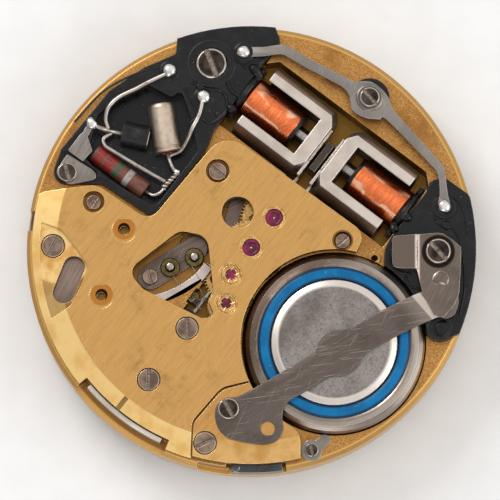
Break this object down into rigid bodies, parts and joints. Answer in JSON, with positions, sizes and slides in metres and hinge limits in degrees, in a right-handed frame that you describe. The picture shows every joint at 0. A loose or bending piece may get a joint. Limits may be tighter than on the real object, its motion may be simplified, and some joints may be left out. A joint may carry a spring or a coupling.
{
  "type": "tuning fork watch movement",
  "caption": "Round battery-driven watch movement whose tuning fork with two coil-driven cups pulls a toothed wheel train to seconds, minute and hour fittings on the dial side.",
  "frame": {"origin": "on the hands' axis, in the plane of the dial seat", "axes": "+Z out of the movement's back, away from the dial; seen from the back, the power cell is at +X -Y and the tuning fork's cups are at +X +Y"},
  "size_m": [0.0288, 0.0288, 0.006],
  "materials": {
    "gilt_brass": "gilt, straight-brushed",
    "gilt_ledge": "gilt, fine matt grain",
    "wheel_brass": "gilt",
    "nickel": "satin nickel plate",
    "spring_steel": "warm grey, brushed",
    "dark_steel": "dark, turned heads",
    "magnet_steel": "ground",
    "black_moulding": "smooth black moulding",
    "copper_winding": "enamelled copper wire, in layers",
    "ruby": "polished synthetic ruby",
    "cell_steel": "drawn nickel-plated steel",
    "cell_seal": "blue moulded seal",
    "resistor_body": "brown lacquer with bands",
    "tinned_wire": "tinned",
    "solder": "bright solder"
  },
  "bodies": {
    "movement": {"main_plate": "gilt_ledge", "train_bridge": "gilt_brass", "strap_block": "gilt_brass", "motion_cover": "spring_steel", "fork_base": "nickel", "bobbin_1": "black_moulding", "bobbin_2": "black_moulding", "winding_1": "copper_winding", "winding_2": "copper_winding", "circuit_module": "black_moulding", "contact_module": "black_moulding", "can_transistor": "nickel", "plastic_diode": "black_moulding", "resistor": "resistor_body", "component_leads": "tinned_wire", "solder_joints": "solder", "ground_tab": "spring_steel", "corner_clamp": "spring_steel", "contact_bar": "spring_steel", "contact_insulator": "black_moulding", "contact_plate": "spring_steel", "battery_strap": "spring_steel", "cell_clip": "spring_steel", "cell_can": "cell_steel", "cell_gasket": "cell_seal", "cell_cap": "cell_steel", "bridge_screws": "dark_steel", "module_screws": "dark_steel", "strap_screws": "dark_steel", "fork_screws": "dark_steel", "jewels": "ruby", "jewel_settings": "gilt_brass", "shock_springs": "gilt_brass", "lower_jewels": "ruby", "index_finger": "spring_steel", "detent_spring": "spring_steel", "rocker_plate": "dark_steel", "rim_spring": "spring_steel", "dial_foot_catch": "wheel_brass", "stem_bush": "dark_steel"},
    "tine_one": {"tine_1": "spring_steel", "cup_1": "nickel", "magnet_1": "magnet_steel", "pawl_finger": "spring_steel"},
    "tine_two": {"tine_2": "spring_steel", "cup_2": "nickel", "magnet_2": "magnet_steel"},
    "index": {"index_wheel": "wheel_brass"},
    "first": {"first_wheel": "wheel_brass"},
    "seconds": {"seconds_wheel": "wheel_brass"},
    "third": {"third_wheel": "wheel_brass"},
    "centre": {"centre_wheel": "wheel_brass", "cannon_pinion": "wheel_brass"},
    "minute": {"minute_wheel": "wheel_brass"},
    "hour": {"hour_wheel": "wheel_brass"},
    "setting": {"setting_lever": "dark_steel"}
  },
  "joints": [
    {"name": "seconds_spin", "type": "hinge", "parent": "movement", "child": "seconds", "pos_m": [0, 0, 0.0025], "axis": [0, 0, 1], "continuous": true},
    {"name": "first_spin", "type": "hinge", "parent": "movement", "child": "first", "pos_m": [-0.00131, -0.00173, 0.0025], "axis": [0, 0, 1], "continuous": true},
    {"name": "index_spin", "type": "hinge", "parent": "movement", "child": "index", "pos_m": [-0.0016, -0.00358, 0.0025], "axis": [0, 0, 1], "continuous": true},
    {"name": "third_spin", "type": "hinge", "parent": "movement", "child": "third", "pos_m": [0.00147, 0.00193, 0.0025], "axis": [0, 0, 1], "continuous": true},
    {"name": "centre_spin", "type": "hinge", "parent": "movement", "child": "centre", "pos_m": [0, 0, 0.0006], "axis": [0, 0, 1], "continuous": true},
    {"name": "minute_spin", "type": "hinge", "parent": "movement", "child": "minute", "pos_m": [-0.00179, -0.00065, 0.0004], "axis": [0, 0, 1], "continuous": true},
    {"name": "hour_spin", "type": "hinge", "parent": "movement", "child": "hour", "pos_m": [0, 0, 0.0002], "axis": [0, 0, 1], "continuous": true},
    {"name": "tine_one_swing", "type": "hinge", "parent": "movement", "child": "tine_one", "pos_m": [-0.00368, -0.00399, 0.0018], "axis": [0, 0, 1], "range_deg": [-0.2, 0.2], "stiffness_Nm_per_rad": 0.0002},
    {"name": "tine_two_swing", "type": "hinge", "parent": "movement", "child": "tine_two", "pos_m": [-0.00287, -0.0046, 0.0018], "axis": [0, 0, 1], "range_deg": [-0.2, 0.2], "stiffness_Nm_per_rad": 0.0002},
    {"name": "setting_turn", "type": "hinge", "parent": "movement", "child": "setting", "pos_m": [-0.0065, -0.00175, 0.0024], "axis": [0, 0, 1], "range_deg": [0, 4]}
  ],
  "couplings": [
    {"joint": "first_spin", "follows": "seconds_spin", "ratio": -9},
    {"joint": "index_spin", "follows": "seconds_spin", "ratio": 72},
    {"joint": "third_spin", "follows": "seconds_spin", "ratio": -0.13333},
    {"joint": "centre_spin", "follows": "seconds_spin", "ratio": 0.016667},
    {"joint": "minute_spin", "follows": "seconds_spin", "ratio": -0.0055556},
    {"joint": "hour_spin", "follows": "seconds_spin", "ratio": 0.0013889},
    {"joint": "tine_two_swing", "follows": "tine_one_swing", "ratio": -1}
  ]
}
